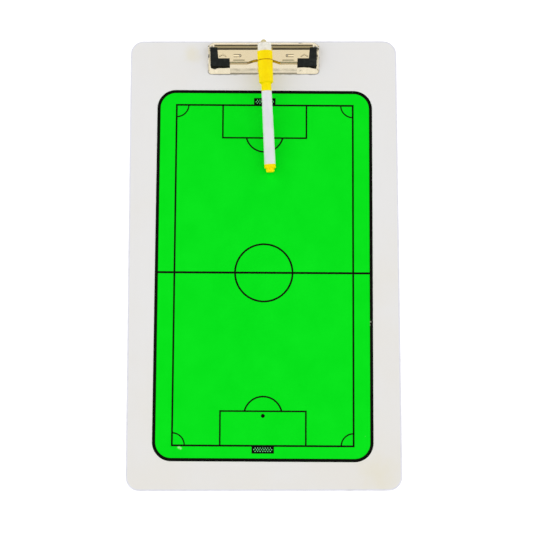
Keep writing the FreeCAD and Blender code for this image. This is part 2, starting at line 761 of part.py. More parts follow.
bore_radius = barrel_bore / 2
spigot_radius = bore_radius - fit_clearance
barrel_start = stub_length + flange_length
barrel_end = barrel_start + barrel_length
stub_radius = stub_diameter / 2
spigot_wall = bore_radius / 3
plug_end = barrel_start + plug_spigot_length
plug = turned([
    (0, 0),
    (0, stub_radius),
    (stub_length, stub_radius),
    (stub_length, flange_radius),
    (barrel_start, flange_radius),
    (barrel_start, spigot_radius),
    (plug_end, spigot_radius),
    (plug_end, spigot_radius - spigot_wall),
    (barrel_start, spigot_radius - spigot_wall),
    (barrel_start, 0),
])
parts["end_plug"] = rounded(plug, stub_round, ring_edge(0, stub_radius))
parts["marker_barrel"] = turned([
    (barrel_start, bore_radius),
    (barrel_start, flange_radius),
    (barrel_end, barrel_mouth_diameter / 2),
    (barrel_end, bore_radius),
])

# The nose is pressed into the barrel's mouth, and the nib runs through it into the reservoir.
collar_radius = nose_collar_diameter / 2
nose_start = barrel_end - nose_spigot_length
collar_end = barrel_end + nose_collar_length
nose_end = collar_end + nose_cone_length
nib_radius = nib_diameter / 2
nib_bore = nib_radius + fit_clearance
parts["marker_nose"] = turned([
    (nose_start, nib_bore),
    (nose_start, spigot_radius),
    (barrel_end, spigot_radius),
    (barrel_end, collar_radius),
    (collar_end, collar_radius),
    (nose_end, nose_tip_diameter / 2),
    (nose_end, nib_bore),
])
nib_start = nose_start - nib_root
nib_end = nose_end + nib_exposed
nib = Part.makeCylinder(nib_radius, nib_end - nib_start, Vec(0, nib_start, 0), Y_AXIS)
parts["marker_nib"] = rounded(nib, nib_tip_radius, ring_edge(nib_end, nib_radius))
reservoir_radius = reservoir_diameter / 2
parts["ink_reservoir"] = turned([
    (plug_end + reservoir_gap, 0),
    (plug_end + reservoir_gap, reservoir_radius),
    (nose_start - fit_clearance, reservoir_radius),
    (nose_start - fit_clearance, nib_bore),
    (nib_start - fit_clearance, nib_bore),
    (nib_start - fit_clearance, 0),
])

# Cap: a narrow skirt flush with the barrel, a shoulder, and a wide body with a spigot for the holder.
cap_start = barrel_end + fit_clearance
shoulder_start = cap_start + skirt_length
cap_end = shoulder_start + cap_body_length
cap_bore = collar_radius + fit_clearance
cap_bore_stop = nib_end + cap_bore_end
socket_radius = holder_socket_diameter / 2
cap_radius = cap_end_diameter / 2
spigot_end = cap_end + holder_socket_depth
cap = turned([
    (cap_start, cap_bore),
    (cap_start, skirt_diameter / 2),
    (shoulder_start, skirt_diameter / 2),
    (shoulder_start + shoulder_length, cap_mouth_diameter / 2),
    (cap_end - seam_groove, cap_radius),
    (cap_end, cap_radius - seam_groove),
    (cap_end, socket_radius - fit_clearance),
    (spigot_end, socket_radius - fit_clearance),
    (spigot_end, 0),
    (cap_bore_stop, 0),
    (cap_bore_stop, cap_bore),
])

# Eraser holder: a socket on the cap's spigot, a magnet pocket above it and a peg for the felt.
holder_radius = holder_diameter / 2
holder_end = cap_end + holder_length
magnet_start = spigot_end + fit_clearance
pocket_end = magnet_start + magnet_thickness + fit_clearance
pocket_radius = magnet_diameter / 2 + fit_clearance
peg_radius = felt_peg_diameter / 2
peg_end = holder_end + felt_peg_length
holder = turned([
    (cap_end, socket_radius),
    (cap_end, holder_radius - seam_groove),
    (cap_end + seam_groove, holder_radius),
    (holder_end, holder_radius),
    (holder_end, peg_radius),
    (peg_end, peg_radius),
    (peg_end, 0),
    (pocket_end, 0),
    (pocket_end, pocket_radius),
    (magnet_start, pocket_radius),
    (magnet_start, socket_radius),
])
magnet_end = magnet_start + magnet_thickness
magnet = turned([(magnet_start, 0), (magnet_start, magnet_diameter / 2), (magnet_end, magnet_diameter / 2),
                 (magnet_end, 0)])
felt_radius = felt_diameter / 2
felt_end = holder_end + felt_length
felt = turned([
    (holder_end, peg_radius + fit_clearance),
    (holder_end, felt_radius),
    (felt_end, felt_radius),
    (felt_end, 0),
    (peg_end + fit_clearance, 0),
    (peg_end + fit_clearance, peg_radius + fit_clearance),
])
parts["felt_eraser"] = rounded(felt, felt_round, ring_edge(felt_end, felt_radius))
parts["cap_magnet"] = magnet

# A flat under the cap and the holder stops the marker rolling and brings the magnet near the steel.
flat_depth = felt_radius - flat_relief
flat = box(-holder_diameter, holder_diameter, cap_start, felt_end, -holder_diameter, -flat_depth)
parts["marker_cap"] = cap.cut(flat)
parts["eraser_holder"] = holder.cut(flat)

on_marker = [
    "end_plug",
    "marker_barrel",
    "marker_nose",
    "marker_nib",
    "ink_reservoir",
    "marker_cap",
    "eraser_holder",
    "felt_eraser",
    "cap_magnet",
]
for name in on_marker:
    parts[name].Placement = marker_place

os.makedirs("parts", exist_ok=True)
for name, shape in parts.items():
    print(name, "valid" if shape.isValid() else "NOT VALID", len(shape.Solids), round(shape.Volume, 2))
    shape.exportStep(os.path.join("parts", name + ".step"))
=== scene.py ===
import json
import math
import random

import bmesh
import bpy
from mathutils import Euler, Matrix, Vector, noise


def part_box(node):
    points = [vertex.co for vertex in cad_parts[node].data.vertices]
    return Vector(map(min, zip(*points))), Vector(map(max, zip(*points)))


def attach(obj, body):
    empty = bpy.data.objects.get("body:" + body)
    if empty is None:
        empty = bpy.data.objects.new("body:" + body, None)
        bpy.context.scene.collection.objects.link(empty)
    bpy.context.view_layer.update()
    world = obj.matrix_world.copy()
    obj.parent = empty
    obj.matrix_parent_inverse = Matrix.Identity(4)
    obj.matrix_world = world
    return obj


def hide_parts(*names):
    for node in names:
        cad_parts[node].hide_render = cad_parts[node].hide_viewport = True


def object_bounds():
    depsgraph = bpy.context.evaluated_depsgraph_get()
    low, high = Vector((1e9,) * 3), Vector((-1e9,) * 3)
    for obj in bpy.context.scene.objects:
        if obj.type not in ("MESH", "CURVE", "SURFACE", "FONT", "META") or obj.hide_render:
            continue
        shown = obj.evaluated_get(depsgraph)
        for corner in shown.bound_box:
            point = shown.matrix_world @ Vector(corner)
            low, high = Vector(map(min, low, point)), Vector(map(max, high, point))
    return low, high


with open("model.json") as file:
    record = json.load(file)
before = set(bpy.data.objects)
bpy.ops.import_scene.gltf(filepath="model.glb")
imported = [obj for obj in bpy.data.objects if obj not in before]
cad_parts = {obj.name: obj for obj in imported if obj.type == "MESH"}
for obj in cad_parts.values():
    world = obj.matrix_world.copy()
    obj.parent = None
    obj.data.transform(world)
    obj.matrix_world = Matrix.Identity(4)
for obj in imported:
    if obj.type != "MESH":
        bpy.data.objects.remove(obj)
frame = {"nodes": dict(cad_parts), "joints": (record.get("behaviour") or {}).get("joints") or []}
cad_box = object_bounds()


# Board core: hardboard, wood fibre pressed hot into a hard brown panel and drilled for the clip's rivets.
# It is closed in by the sheets and the band, and only shows inside the rivets' counterbores at the back.
def linear(hex_colour):
    """An sRGB hex colour as linear red, green and blue, with full opacity."""
    channels = [int(hex_colour[at:at + 2], 16) / 255 for at in (1, 3, 5)]
    return [c / 12.92 if c <= 0.04045 else ((c + 0.055) / 1.055) ** 2.4 for c in channels] + [1.0]


def spacing(millimetres):
    """The texture scale at which a pattern's marks come that far apart, in metres of Object space."""
    return 1000.0 / millimetres


def connect(tree, node, inputs):
    """Sets a node's inputs to fixed values, or links them to a socket or to a node's first live output."""
    for name, value in inputs.items():
        if isinstance(value, bpy.types.Node):
            value = next(output for output in value.outputs if output.enabled)
        if isinstance(value, bpy.types.NodeSocket):
            tree.links.new(value, node.inputs[name])
        else:
            node.inputs[name].default_value = value


def add(tree, kind, inputs, **settings):
    """Adds one node with its settings and links.

    Inputs go by name or by number. A colour Mix takes its share at 0 and its two colours at 6 and 7.
    """
    node = tree.nodes.new("ShaderNode" + kind)
    for name, value in settings.items():
        setattr(node, name, value)
    connect(tree, node, inputs)
    return node


def start(name, fixed):
    """A new material, its node tree, its shader with what is the same all over, and its coordinates."""
    material = bpy.data.materials.new(name)
    material.use_nodes = True
    tree = material.node_tree
    shader = tree.nodes["Principled BSDF"]
    connect(tree, shader, fixed)
    return material, tree, shader, add(tree, "TexCoord", {}).outputs["Object"]


def dress(material, *names):
    """Gives CAD nodes their material."""
    for name in names:
        for slot in frame["nodes"][name].material_slots:
            slot.material = material


def pressed_hardboard():
    # Matted brown fibres, lighter and darker by the strand, with a dull, slightly furred cut face.
    material, tree, shader, place = start("hardboard_pressed", {
        "Roughness": 0.85, "Specular IOR Level": 0.3})
    strands = add(tree, "Mapping", {"Vector": place, "Scale": (1.0, 3.0, 6.0)})
    fibre = add(tree, "TexNoise", {
        "Vector": strands, "Scale": spacing(2.4), "Detail": 8.0, "Roughness": 0.7})
    shade = add(tree, "MapRange", {"Value": fibre, "From Min": 0.35, "From Max": 0.65})
    colour = add(tree, "Mix", {0: shade, 6: linear("#4A3018"), 7: linear("#8C6238")}, data_type="RGBA")
    fur = add(tree, "Bump", {"Height": fibre, "Strength": 0.6, "Distance": 0.00015})
    connect(tree, shader, {"Base Color": colour, "Normal": fur})
    return material


dress(pressed_hardboard(), "board_core")


# Front and rear sheets: white melamine laminate glued to the core, a hard gloss skin that ink wipes off.
# Use has left the front a little warmer towards its lower edge and stained in two places, with faint
# wiped smears and hair scratches. A painted shade line, a contact shadow, runs round the clip's base.
board_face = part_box("front_sheet")[1].z
stain_colour = "#E5DDBC"
stain_strength = 0.4
front_stains = [
    (Vector((-0.064, 0.187, board_face)), 0.011),
    (Vector((0.099, -0.186, board_face)), 0.024),
]
wobbles_per_radius = 1.6
base_front_radius = 0.0025
base_back_radius = 0.0055
# Colour, strength and width of the painted contact shadow line round the outside of the clip's base.
contact_shade_colour = "#3B362A"
contact_shade_strength = 0.85
contact_shade_least = 0.0004
contact_shade_most = 0.0013


def smudged(tree, place, colour, tint, strength, spots):
    """The colour with ragged tinted spots, each given by its centre and its radius, in metres."""
    for centre, radius in spots:
        away = add(tree, "VectorMath", {0: place, 1: centre}, operation="DISTANCE")
        wobble = add(tree, "TexNoise", {
            "Vector": place, "Scale": wobbles_per_radius / radius, "Detail": 3.0})
        shift = add(tree, "MapRange", {"Value": wobble, "To Min": -radius / 2, "To Max": radius / 2})
        ragged = add(tree, "Math", {0: away, 1: shift}, operation="ADD")
        near = add(tree, "MapRange", {
            "Value": ragged, "From Min": radius, "From Max": 0.0, "To Max": strength},
            interpolation_type="SMOOTHSTEP")
        colour = add(tree, "Mix", {0: near, 6: colour, 7: linear(tint)}, data_type="RGBA")
    return colour


def with_contact_shade(tree, place, colour, low, high):
    """The colour with a painted shade line of uneven width, a contact shadow, along the outside of the
    clip's base, given by its corners.
    """
    offset = add(tree, "VectorMath", {0: place, 1: (low + high) / 2}, operation="SUBTRACT")
    behind = add(tree, "SeparateXYZ", {"Vector": offset}).outputs["Y"]
    at_back = add(tree, "Math", {0: behind, 1: 0.0}, operation="GREATER_THAN")
    radius = add(tree, "MapRange", {
        "Value": at_back, "To Min": base_front_radius, "To Max": base_back_radius})
    inset = add(tree, "CombineXYZ", {"X": radius, "Y": radius})
    level = add(tree, "VectorMath", {0: offset, 1: (1.0, 1.0, 0.0)}, operation="MULTIPLY")
    folded = add(tree, "VectorMath", {0: level}, operation="ABSOLUTE")
    past = add(tree, "VectorMath", {0: folded, 1: (high - low) / 2}, operation="SUBTRACT")
    beyond = add(tree, "VectorMath", {0: past, 1: inset}, operation="ADD")
    outside = add(tree, "VectorMath", {0: beyond, 1: (0.0, 0.0, 0.0)}, operation="MAXIMUM")
    reach = add(tree, "VectorMath", {0: outside}, operation="LENGTH")
    gap = add(tree, "Math", {0: reach, 1: radius}, operation="SUBTRACT")
    lumps = add(tree, "TexNoise", {"Vector": place, "Scale": spacing(5.0), "Detail": 3.0})
    width = add(tree, "MapRange", {
        "Value": lumps, "From Min": 0.35, "From Max": 0.65, "To Min": contact_shade_least, "To Max": contact_shade_most})
    near = add(tree, "MapRange", {
        "Value": gap, "From Min": width, "From Max": 0.0, "To Max": contact_shade_strength})
    return add(tree, "Mix", {0: near, 6: colour, 7: linear(contact_shade_colour)}, data_type="RGBA")


def wiped_laminate(name, smear_turn, stains=(), plate=None):
    # Smooth and bright with a soft gloss. Smears dull the gloss more than they change the colour.
    material, tree, shader, place = start(name, {"IOR": 1.5, "Specular IOR Level": 0.35})
    cloud = add(tree, "TexNoise", {
        "Vector": place, "Scale": spacing(70.0), "Detail": 3.0, "Roughness": 0.55})
    along = add(tree, "SeparateXYZ", {"Vector": place}).outputs["Y"]
    lower = add(tree, "MapRange", {"Value": along, "From Min": 0.02, "From Max": -0.2, "To Max": 0.3})
    aged = add(tree, "Math", {0: cloud, 1: lower}, operation="ADD")
    age = add(tree, "MapRange", {"Value": aged, "From Min": 0.4, "From Max": 0.95},
              interpolation_type="SMOOTHSTEP")
    sheet = add(tree, "Mix", {0: age, 6: linear("#EAE9E8"), 7: linear("#E9E6E0")}, data_type="RGBA")
    swept = add(tree, "Mapping", {
        "Vector": place, "Rotation": (0, 0, smear_turn), "Scale": (1.0, 0.45, 1.0)})
    wipe = add(tree, "TexNoise", {
        "Vector": swept, "Scale": spacing(22.0), "Detail": 2.0, "Roughness": 0.5, "Distortion": 0.3})
    smear = add(tree, "MapRange", {"Value": wipe, "From Min": 0.45, "From Max": 0.9},
                interpolation_type="SMOOTHSTEP")
    haze = add(tree, "Math", {0: smear, 1: 0.03}, operation="MULTIPLY")
    wiped = add(tree, "Mix", {0: haze, 6: sheet, 7: linear("#D3D6DB")}, data_type="RGBA")
    colour = smudged(tree, place, wiped, stain_colour, stain_strength, stains)
    # Painted shade: a dark line round the outside of the clip's base stands in for its contact shadow.
    if plate:
        colour = with_contact_shade(tree, place, colour, *plate)
    gloss = add(tree, "MapRange", {"Value": smear, "To Min": 0.28, "To Max": 0.33})
    # Real hair scratches are a few hundredths of a millimetre wide, drawn ten times as coarse to show.
    drawn = add(tree, "Mapping", {
        "Vector": place, "Rotation": (0, 0, 0.6 - smear_turn), "Scale": (1.0, 0.012, 1.0)})
    hair = add(tree, "TexNoise", {"Vector": drawn, "Scale": spacing(0.6), "Detail": 2.0})
    scratch = add(tree, "MapRange", {"Value": hair, "From Min": 0.68, "From Max": 0.74})
    groove = add(tree, "Bump", {"Height": scratch, "Strength": 0.12, "Distance": 0.00002}, invert=True)
    connect(tree, shader, {"Base Color": colour, "Roughness": gloss, "Normal": groove})
    return material


dress(wiped_laminate("melamine_laminate_front", 0.5, front_stains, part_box("clip_base")), "front_sheet")
dress(wiped_laminate("melamine_laminate_rear", -0.9), "rear_sheet")


# Edge band: a strip of extruded white PVC bent round the panel, glued on, and rounded over both edges.
# It is cooler and a little greyer than the sheets, with fine draw lines along its length.
def extruded_pvc():
    # A satin skin, dulled by scuffs. The die leaves level lines, here 0.5 mm apart so that they show.
    material, tree, shader, place = start("pvc_extruded_band", {"IOR": 1.53, "Specular IOR Level": 0.4})
    height = add(tree, "SeparateXYZ", {"Vector": place}).outputs["Z"]
    level = add(tree, "CombineXYZ", {"Z": height})
    lines = add(tree, "TexNoise", {"Vector": level, "Scale": spacing(0.5), "Detail": 2.0})
    rub = add(tree, "TexNoise", {
        "Vector": place, "Scale": spacing(11.0), "Detail": 6.0, "Roughness": 0.65})
    worn = add(tree, "MapRange", {"Value": rub, "From Min": 0.5, "From Max": 0.75})
    colour = add(tree, "Mix", {0: worn, 6: linear("#E3E3EA"), 7: linear("#D6D6DC")}, data_type="RGBA")
    satin = add(tree, "MapRange", {"Value": worn, "To Min": 0.34, "To Max": 0.55})
    drawn = add(tree, "Bump", {"Height": lines, "Strength": 0.25, "Distance": 0.00003})
    connect(tree, shader, {"Base Color": colour, "Roughness": satin, "Normal": drawn})
    return material


dress(extruded_pvc(), "edge_band")


# Pitch print: one coat of fluorescent green ink, screen printed on the front sheet, even but for a faint
# weave from the screen and a few rubbed scuffs. It is thinned to a pale tint under the two goal nets, so
# that their cords stand out, and the black of the two penalty spots has bled a little into it.
print_low, print_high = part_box("pitch_print")
print_middle = (print_low + print_high) / 2
print_turn = math.radians(0.4)
net_reach = 0.15425
net_half_width = 0.0086
net_half_depth = 0.0023
net_fade = 0.0005
spot_reach = 0.12515
spot_radius = 0.0016
spot_fade = 0.0002
black_ink = "#070604"
screen_mm = 0.8
scuff_colour = "#B0F5A6"
scuff_strength = 0.8
ink_scuffs = [
    (Vector((-0.0739, -0.1624, print_high.z)), 0.0019),
    (Vector((-0.0724, -0.1634, print_high.z)), 0.0016),
]


def screen_weave(tree, place, mesh_mm):
    """The height left by the screen's crossed threads."""
    threads = []
    for axis in ("X", "Y"):
        threads.append(add(tree, "TexWave", {"Vector": place, "Scale": spacing(mesh_mm) / (2 * math.pi)},
                           wave_type="BANDS", bands_direction=axis, wave_profile="SIN"))
    return add(tree, "Math", {0: threads[0], 1: threads[1]}, operation="MULTIPLY")


def green_screen_ink():
    # Flat and strong in colour with little shine. A real screen has about 3 threads to the millimetre.
    # Here they are 0.8 mm apart, as fine as the render can hold.
    material, tree, shader, place = start("green_ink_screen_printed", {
        "IOR": 1.45, "Specular IOR Level": 0.03})
    weave = screen_weave(tree, place, screen_mm)
    cloud = add(tree, "TexNoise", {
        "Vector": place, "Scale": spacing(26.0), "Detail": 5.0, "Roughness": 0.6})
    lay = add(tree, "MapRange", {"Value": cloud, "From Min": 0.3, "From Max": 0.7})
    coat = add(tree, "Mix", {0: lay, 6: linear("#00E317"), 7: linear("#05E91C")}, data_type="RGBA")
    square = add(tree, "Mapping", {
        "Vector": place, "Rotation": (0.0, 0.0, print_turn), "Location": -print_middle})
    folded = add(tree, "VectorMath", {0: square}, operation="ABSOLUTE")
    reach = add(tree, "SeparateXYZ", {"Vector": folded})
    past = add(tree, "Math", {0: reach.outputs["Y"], 1: net_reach}, operation="SUBTRACT")
    depth = add(tree, "Math", {0: past}, operation="ABSOLUTE")
    sides = [(reach.outputs["X"], net_half_width), (depth, net_half_depth)]
    within = [add(tree, "MapRange", {"Value": value, "From Min": half + net_fade, "From Max": half})
              for value, half in sides]
    nets = add(tree, "Math", {0: within[0], 1: within[1]}, operation="MULTIPLY")
    netted = add(tree, "Mix", {0: nets, 6: coat, 7: linear("#7DFF9E")}, data_type="RGBA")
    away = add(tree, "VectorMath", {0: folded, 1: (0.0, spot_reach, 0.0)}, operation="DISTANCE")
    bled = add(tree, "MapRange", {
        "Value": away, "From Min": spot_radius + spot_fade, "From Max": spot_radius})
    spotted = add(tree, "Mix", {0: bled, 6: netted, 7: linear(black_ink)}, data_type="RGBA")
    patches = add(tree, "TexNoise", {
        "Vector": place, "Scale": spacing(5.0), "Detail": 6.0, "Roughness": 0.7})
    rubbed = add(tree, "MapRange", {"Value": patches, "From Min": 0.73, "From Max": 0.8, "To Max": 0.5})
    worn = add(tree, "Mix", {0: rubbed, 6: spotted, 7: linear("#A6F2A2")}, data_type="RGBA")
    colour = smudged(tree, place, worn, scuff_colour, scuff_strength, ink_scuffs)
    satin = add(tree, "MapRange", {"Value": cloud, "To Min": 0.42, "To Max": 0.6})
    film = add(tree, "Bump", {"Height": weave, "Strength": 0.2, "Distance": 0.00002})
    connect(tree, shader, {"Base Color": colour, "Roughness": satin, "Normal": film})
    return material


dress(green_screen_ink(), "pitch_print")


# Line print: the border, pitch markings and net hatching, a second coat of black ink over the green.
# It is a warm black, thinner in places, so the screen shows through as small paler flecks, and it is
# chipped in two places on the border's right side.
chip_colour = "#A9ABA0"
chip_strength = 0.8
border_chips = [
    (Vector((0.0938, -0.0538, print_high.z)), 0.0011),
    (Vector((0.0934, -0.0566, print_high.z)), 0.0007),
]


def black_screen_ink():
    # Near black and satin, with flecks about a third of a millimetre wide where the ink lies thin.
    material, tree, shader, place = start("black_ink_screen_printed", {
        "IOR": 1.45, "Specular IOR Level": 0.04})
    flecks = add(tree, "TexNoise", {
        "Vector": place, "Scale": spacing(0.7), "Detail": 3.0, "Roughness": 0.6})
    thin = add(tree, "MapRange", {"Value": flecks, "From Min": 0.55, "From Max": 0.8})
    coat = add(tree, "Mix", {0: thin, 6: linear(black_ink), 7: linear("#221E16")}, data_type="RGBA")
    colour = smudged(tree, place, coat, chip_colour, chip_strength, border_chips)
    satin = add(tree, "MapRange", {"Value": flecks, "To Min": 0.35, "To Max": 0.6})
    weave = screen_weave(tree, place, screen_mm)
    film = add(tree, "Bump", {"Height": weave, "Strength": 0.2, "Distance": 0.00002})
    connect(tree, shader, {"Base Color": colour, "Roughness": satin, "Normal": film})
    return material


dress(black_screen_ink(), "line_print")


# Clip base and hanger: mild steel sheet, pressed to shape in a die and nickel plated.
# The plate is bright and warm, and the pressing leaves it gently wavy, so its reflections wander. The base
# is buckled a little at its ends, to each side of its front rim.
rim_half = 0.03
buckle_fade = 0.002
buckle_depth = 0.0022
buckle_mm = 10.0


def banded(tree, place, colour, way, centre, half, fade, tint):
    """The colour with a tinted band across way, half wide to each side of centre and fading beyond that."""
    reach = add(tree, "VectorMath", {0: place, 1: way}, operation="DOT_PRODUCT")
    offset = add(tree, "Math", {0: reach, 1: centre}, operation="SUBTRACT")
    distance = add(tree, "Math", {0: offset}, operation="ABSOLUTE")
    inside = add(tree, "MapRange", {
        "Value": distance, "From Min": half, "From Max": half + fade, "To Min": 1.0, "To Max": 0.0},
        interpolation_type="SMOOTHSTEP")
    return add(tree, "Mix", {0: inside, 6: colour, 7: linear(tint)}, data_type="RGBA")


def bright_nickel(name, colour, worn_colour, wave_mm, band=None, buckled_past=None):
    # A mirror that is not quite flat: long waves from the press, fine handling scratches and dull spots.
    material, tree, shader, place = start(name, {"Metallic": 1.0})
    waves = add(tree, "TexNoise", {
        "Vector": place, "Scale": spacing(wave_mm), "Detail": 1.0, "Roughness": 0.4})
    spots = add(tree, "TexNoise", {
        "Vector": place, "Scale": spacing(3.2), "Detail": 5.0, "Roughness": 0.7})
    dull = add(tree, "MapRange", {"Value": spots, "From Min": 0.6, "From Max": 0.85, "To Max": 0.5})
    plate = add(tree, "Mix", {0: dull, 6: linear(colour), 7: linear(worn_colour)}, data_type="RGBA")
    if band:
        plate = banded(tree, place, plate, *band)
    # Handling scratches are drawn 0.25 mm apart, coarser than the real ones, so that they catch the light.
    drawn = add(tree, "Mapping", {
        "Vector": place, "Rotation": (0.0, 0.0, 0.3), "Scale": (0.04, 1.0, 1.0)})
    hair = add(tree, "TexNoise", {"Vector": drawn, "Scale": spacing(0.25), "Detail": 2.0})
    haze = add(tree, "Math", {0: dull, 1: hair}, operation="ADD")
    polish = add(tree, "MapRange", {
        "Value": haze, "From Min": 0.4, "From Max": 1.5, "To Min": 0.1, "To Max": 0.35})
    wander = add(tree, "Bump", {"Height": waves, "Strength": 1.0, "Distance": 0.00015})
    if buckled_past:
        side = add(tree, "SeparateXYZ", {"Vector": place}).outputs["X"]
        aside = add(tree, "Math", {0: side}, operation="ABSOLUTE")
        depth = add(tree, "MapRange", {
            "Value": aside, "From Min": buckled_past, "From Max": buckled_past + buckle_fade,
            "To Max": buckle_depth})
        dents = add(tree, "TexNoise", {"Vector": place, "Scale": spacing(buckle_mm), "Detail": 1.0})
        wander = add(tree, "Bump", {
            "Height": dents, "Strength": 1.0, "Distance": depth, "Normal": wander})
    fine = add(tree, "Bump", {"Height": hair, "Strength": 0.15, "Distance": 0.00001, "Normal": wander})
    connect(tree, shader, {"Base Color": plate, "Roughness": polish, "Normal": fine})
    return material


dress(bright_nickel("nickel_plated_steel_base", "#E3D8BD", "#CDC0A2", 9.0, buckled_past=rim_half),
      "clip_base")
# The hanger has a darker copy of the same plating, which is painted shade.
dress(bright_nickel("nickel_plated_steel_hanger_painted_shade", "#C4B88F", "#A3966F", 9.0), "hanger")


# Rivets: soft steel, set cold through the base and the board, with a domed head above and a clinched tail
# below. The setting tool burnishes the dome and leaves faint rings on it.
def drawn_steel(name, colour, stain, polish, grain):
    # Grey steel with a satin shine, drawn or struck lines close together, and a few darker stains.
    material, tree, shader, place = start(name, {"Metallic": 1.0})
    strokes = add(tree, "Mapping", {"Vector": place, "Scale": grain})
    lines = add(tree, "TexNoise", {"Vector": strokes, "Scale": spacing(0.3), "Detail": 3.0})
    patches = add(tree, "TexNoise", {
        "Vector": place, "Scale": spacing(2.0), "Detail": 5.0, "Roughness": 0.7})
    marked = add(tree, "MapRange", {"Value": patches, "From Min": 0.52, "From Max": 0.75})
    tone = add(tree, "Mix", {0: marked, 6: linear(colour), 7: linear(stain)}, data_type="RGBA")
    satin = add(tree, "MapRange", {"Value": lines, "To Min": polish, "To Max": polish + 0.25})
    drag = add(tree, "Bump", {"Height": lines, "Strength": 0.3, "Distance": 0.00001})
    connect(tree, shader, {"Base Color": tone, "Roughness": satin, "Normal": drag})
    return material


dress(drawn_steel("steel_rivet_burnished", "#D8D2C4", "#8F887A", 0.16, (1.0, 1.0, 1.0)), "rivets")


# Hinge rod and torsion spring: drawn steel wire. The rod is headed over outside the ears, and the spring is
# wound on it as two coils, with a leg under each tongue of the lever and a bar across the base.
dress(drawn_steel("steel_rod_drawn", "#CFCBC2", "#8A857C", 0.2, (0.04, 1.0, 1.0)), "hinge_rod")
dress(drawn_steel("spring_wire_drawn", "#A8A49C", "#5E5B56", 0.28, (1.0, 1.0, 1.0)), "torsion_spring")


# Lever: the clip's upper plate, pressed from the same sheet, curled over the rod and lanced for the spring.
# Its plating is yellower than the base's, as thin nickel over copper is, and a brown band along the roll's
# crest is a painted dark reflection.
joints = {joint["name"]: joint for joint in frame["joints"]}
hinge_place = Vector(joints["lever_hinge"]["pos_m"])
lever_slope = math.radians(18.0)
lever_way = Vector((0.0, math.cos(lever_slope), math.sin(lever_slope)))
# Where the painted dark reflection band lies across the roll's crest, how wide it is, and how it fades.
painted_reflection_offset = 0.0005
painted_reflection_middle = hinge_place.dot(lever_way) + painted_reflection_offset
painted_reflection_half = 0.0007
painted_reflection_fade = 0.0004
dress(bright_nickel("nickel_plated_steel_lever", "#DDCDA9", "#C6B288", 12.0,
                    (lever_way, painted_reflection_middle, painted_reflection_half, painted_reflection_fade, "#948663")), "clip_lever")


# Corner grips: black polypropylene mouldings pushed on to the lever's front corners, which press on the
# paper. The mould was spark eroded, so they are evenly matt.
def spark_grained_plastic():
    # A matt near black, faintly green in the light, with an even grain of about 0.5 mm and rubbed spots.
    material, tree, shader, place = start("polypropylene_black_grained", {
        "IOR": 1.49, "Specular IOR Level": 0.16})
    grain = add(tree, "TexNoise", {
        "Vector": place, "Scale": spacing(0.5), "Detail": 3.0, "Roughness": 0.55})
    rub = add(tree, "TexNoise", {
        "Vector": place, "Scale": spacing(3.5), "Detail": 5.0, "Roughness": 0.65})
    pale = add(tree, "MapRange", {"Value": rub, "From Min": 0.5, "From Max": 0.8})
    colour = add(tree, "Mix", {0: pale, 6: linear("#161917"), 7: linear("#2E322E")}, data_type="RGBA")
    matt = add(tree, "MapRange", {"Value": rub, "To Min": 0.65, "To Max": 0.45})
    pits = add(tree, "Bump", {"Height": grain, "Strength": 0.5, "Distance": 0.00006})
    connect(tree, shader, {"Base Color": colour, "Roughness": matt, "Normal": pits})
    return material


dress(spark_grained_plastic(), "corner_grip_left", "corner_grip_right")


# Marker barrel and nose: white polypropylene, the barrel extruded and cut, the nose moulded and pressed in.
# Handling has left the barrel with a soft sheen and a few faint grey rubs.
def moulded_plastic(name, colour, shade, rub_colour, sheen, gloss, ripple_mm, band=None):
    # An even satin gloss, slightly deeper in tone by patches, with shallow sink ripples and fine rubs.
    material, tree, shader, place = start(name, {
        "IOR": 1.49, "Specular IOR Level": sheen, "Subsurface Weight": 0.06,
        "Subsurface Radius": (0.002, 0.0018, 0.0012), "Subsurface Scale": 0.4})
    depth = add(tree, "TexNoise", {"Vector": place, "Scale": spacing(14.0), "Detail": 3.0})
    tone = add(tree, "MapRange", {"Value": depth, "From Min": 0.35, "From Max": 0.65})
    body = add(tree, "Mix", {0: tone, 6: linear(colour), 7: linear(shade)}, data_type="RGBA")
    marks = add(tree, "TexNoise", {
        "Vector": place, "Scale": spacing(1.6), "Detail": 7.0, "Roughness": 0.75})
    rubbed = add(tree, "MapRange", {"Value": marks, "From Min": 0.62, "From Max": 0.82, "To Max": 0.5})
    skin = add(tree, "Mix", {0: rubbed, 6: body, 7: linear(rub_colour)}, data_type="RGBA")
    if band:
        skin = banded(tree, place, skin, *band)
    satin = add(tree, "MapRange", {"Value": marks, "To Min": gloss, "To Max": gloss + 0.2})
    ripple = add(tree, "TexNoise", {"Vector": place, "Scale": spacing(ripple_mm), "Detail": 1.0})
    sink = add(tree, "Bump", {"Height": ripple, "Strength": 0.4, "Distance": 0.00008})
    connect(tree, shader, {"Base Color": skin, "Roughness": satin, "Normal": sink})
    return material


dress(moulded_plastic("polypropylene_white_moulded", "#E4E4E8", "#DDDEE3", "#CACCD2", 0.45, 0.3, 4.0),
      "marker_barrel", "marker_nose")


# End plug, cap and eraser holder: the same plastic, dyed through in yellow and moulded. The plug is pressed
# into the barrel's tail. The holder is snapped on to the cap's end over the magnet, and dirt sits in their
# seam.
marker_axis = Vector(joints["cap_pull"]["axis"])
holder_points = [vertex.co for vertex in frame["nodes"]["eraser_holder"].data.vertices]
seam_middle = min(point.dot(marker_axis) for point in holder_points)
seam_half = 0.0002
seam_fade = 0.0003
dress(moulded_plastic("polypropylene_yellow_moulded", "#FEE500", "#FAD800", "#EFCA04", 0.06, 0.32, 3.5,
                      (marker_axis, seam_middle, seam_half, seam_fade, "#B87D10")),
      "end_plug", "marker_cap", "eraser_holder")


# Nib and reservoir: bonded polyester fibre, the nib ground to a bullet and soaked in black ink, the
# reservoir a bundle in its sleeve. Both run along the marker, and the cap hides the nib until it is pulled.
along_marker = marker_axis.to_track_quat("Z", "Y")


